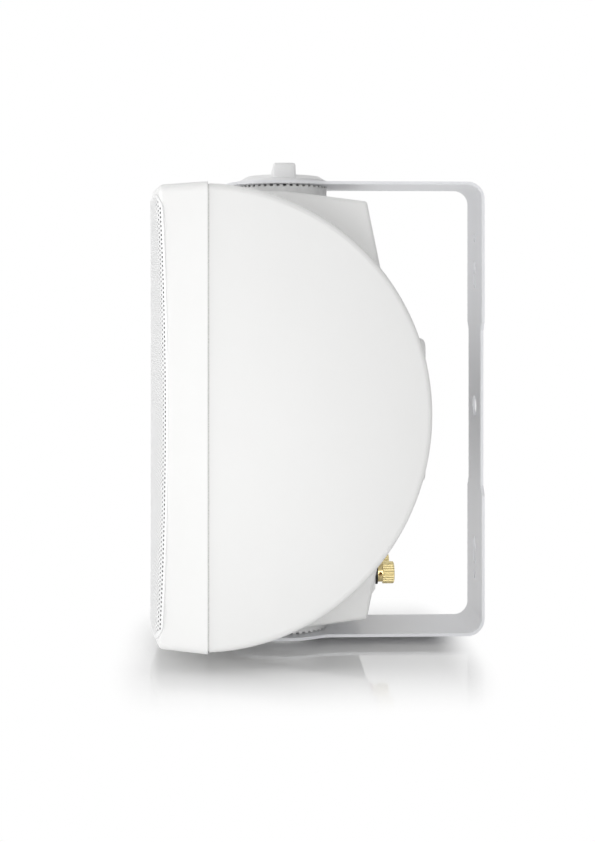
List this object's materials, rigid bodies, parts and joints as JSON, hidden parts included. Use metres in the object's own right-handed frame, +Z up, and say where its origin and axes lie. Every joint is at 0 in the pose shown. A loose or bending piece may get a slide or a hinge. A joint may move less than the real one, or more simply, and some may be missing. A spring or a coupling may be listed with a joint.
{
  "type": "loudspeaker",
  "caption": "White two-way wall loudspeaker: round-backed moulded cabinet with perforated bowed grille, swivelling in a folded steel yoke bracket with clamp knobs.",
  "frame": {"origin": "middle of the bracket's wall face, midway between its two outer screw holes", "axes": "+Y into the wall, so the grille looks along -Y; +Z up along the bracket's plate; X across the cabinet"},
  "size_m": [0.166, 0.1838, 0.264],
  "materials": {
    "white_steel": "white powder coat",
    "grille_steel": "white powder coat on perforated steel",
    "cabinet_plastic": "fine moulded texture",
    "front_plastic": "fine moulded texture",
    "knob_plastic": "fine moulded texture",
    "gasket_rubber": "foam rubber",
    "surround_rubber": "smooth",
    "spider_cloth": "woven, treated",
    "cone_black": "filled polypropylene",
    "copper": "enamelled wire",
    "black_steel": "black paint",
    "zinc_steel": "zinc plate",
    "screw_steel": "black oxide",
    "ferrite": "ground ceramic magnet",
    "black_plastic": "satin",
    "red_plastic": "gloss",
    "port_plastic": "fine moulded texture",
    "dome_cloth": "coated cloth",
    "board": "printed circuit laminate",
    "capacitor_film": "wrapped film",
    "ceramic": "cast ceramic",
    "brass": "machined",
    "gold": "gold plate"
  },
  "bodies": {
    "bracket": {"bracket": "white_steel"},
    "upper_knob": {"upper_knob": "knob_plastic", "upper_knob_stud": "zinc_steel"},
    "lower_knob": {"lower_knob": "knob_plastic", "lower_knob_stud": "zinc_steel"},
    "left_post_nut": {"left_post_nut": "gold"},
    "right_post_nut": {"right_post_nut": "gold"},
    "woofer_cone": {"woofer_cone": "cone_black", "woofer_dust_cap": "cone_black", "woofer_voice_coil": "copper", "woofer_surround": "surround_rubber", "woofer_spider": "spider_cloth"},
    "tweeter_dome": {"tweeter_dome": "dome_cloth", "tweeter_voice_coil": "copper", "tweeter_surround": "dome_cloth"},
    "speaker": {"cabinet_screws": "screw_steel", "crossover_board": "board", "crossover_capacitor": "capacitor_film", "crossover_inductor": "copper", "crossover_resistor": "ceramic", "crossover_screws": "screw_steel", "front_baffle": "front_plastic", "grille": "grille_steel", "left_post_stud": "gold", "left_post_washer": "red_plastic", "lower_insert": "brass", "port_tube": "port_plastic", "post_hex_nuts": "zinc_steel", "rear_cabinet": "cabinet_plastic", "right_post_stud": "gold", "right_post_washer": "black_plastic", "seam_gasket": "gasket_rubber", "solder_tags": "zinc_steel", "tweeter_faceplate": "black_plastic", "tweeter_magnet": "ferrite", "tweeter_screws": "screw_steel", "tweeter_top_plate": "zinc_steel", "tweeter_yoke": "zinc_steel", "upper_insert": "brass", "woofer_basket": "black_steel", "woofer_gasket": "gasket_rubber", "woofer_magnet": "ferrite", "woofer_screws": "screw_steel", "woofer_top_plate": "zinc_steel", "woofer_yoke": "zinc_steel"}
  },
  "joints": [
    {"name": "cabinet_swivel", "type": "hinge", "parent": "bracket", "child": "speaker", "pos_m": [0, -0.11, 0], "axis": [0, 0, 1], "range_deg": [-90, 90]},
    {"name": "upper_knob_turn", "type": "hinge", "parent": "speaker", "child": "upper_knob", "pos_m": [0, -0.11, 0.125], "axis": [0, 0, 1], "continuous": true},
    {"name": "lower_knob_turn", "type": "hinge", "parent": "speaker", "child": "lower_knob", "pos_m": [0, -0.11, -0.125], "axis": [0, 0, 1], "continuous": true},
    {"name": "left_nut_turn", "type": "hinge", "parent": "speaker", "child": "left_post_nut", "pos_m": [-0.0135, -0.0518, -0.0914], "axis": [0, 1, 0], "continuous": true},
    {"name": "right_nut_turn", "type": "hinge", "parent": "speaker", "child": "right_post_nut", "pos_m": [0.0135, -0.0518, -0.0914], "axis": [0, 1, 0], "continuous": true},
    {"name": "woofer_travel", "type": "slide", "parent": "speaker", "child": "woofer_cone", "axis": [0, -1, 0], "range_m": [-0.004, 0.004], "stiffness_N_per_m": 1200, "deforming": ["woofer_surround", "woofer_spider"]},
    {"name": "tweeter_travel", "type": "slide", "parent": "speaker", "child": "tweeter_dome", "axis": [0, -1, 0], "range_m": [-0.0003, 0.0003], "stiffness_N_per_m": 100, "deforming": ["tweeter_surround"]}
  ]
}
